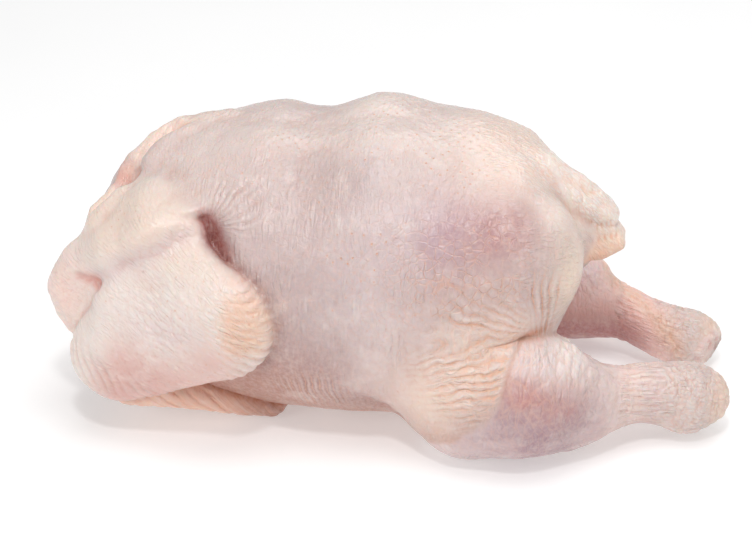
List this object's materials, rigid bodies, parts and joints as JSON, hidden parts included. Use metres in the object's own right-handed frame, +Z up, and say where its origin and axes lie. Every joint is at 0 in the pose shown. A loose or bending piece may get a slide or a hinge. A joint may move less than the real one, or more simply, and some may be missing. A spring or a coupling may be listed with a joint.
{
  "type": "whole raw chicken",
  "caption": "Plucked and dressed whole raw chicken lying on its breast, back up, wings folded at its sides and legs stretched out behind the tail.",
  "frame": {"origin": "on the resting plane, under the middle of the bird's outline", "axes": "+X towards the tail and the ends of the legs, +Y the bird's right side, +Z up through its back"},
  "size_m": [0.2916, 0.1634, 0.1286],
  "materials": {
    "skin": "moist raw skin, soft satin with small wet highlights"
  },
  "bodies": {
    "root": {"chicken": "skin"}
  },
  "joints": []
}
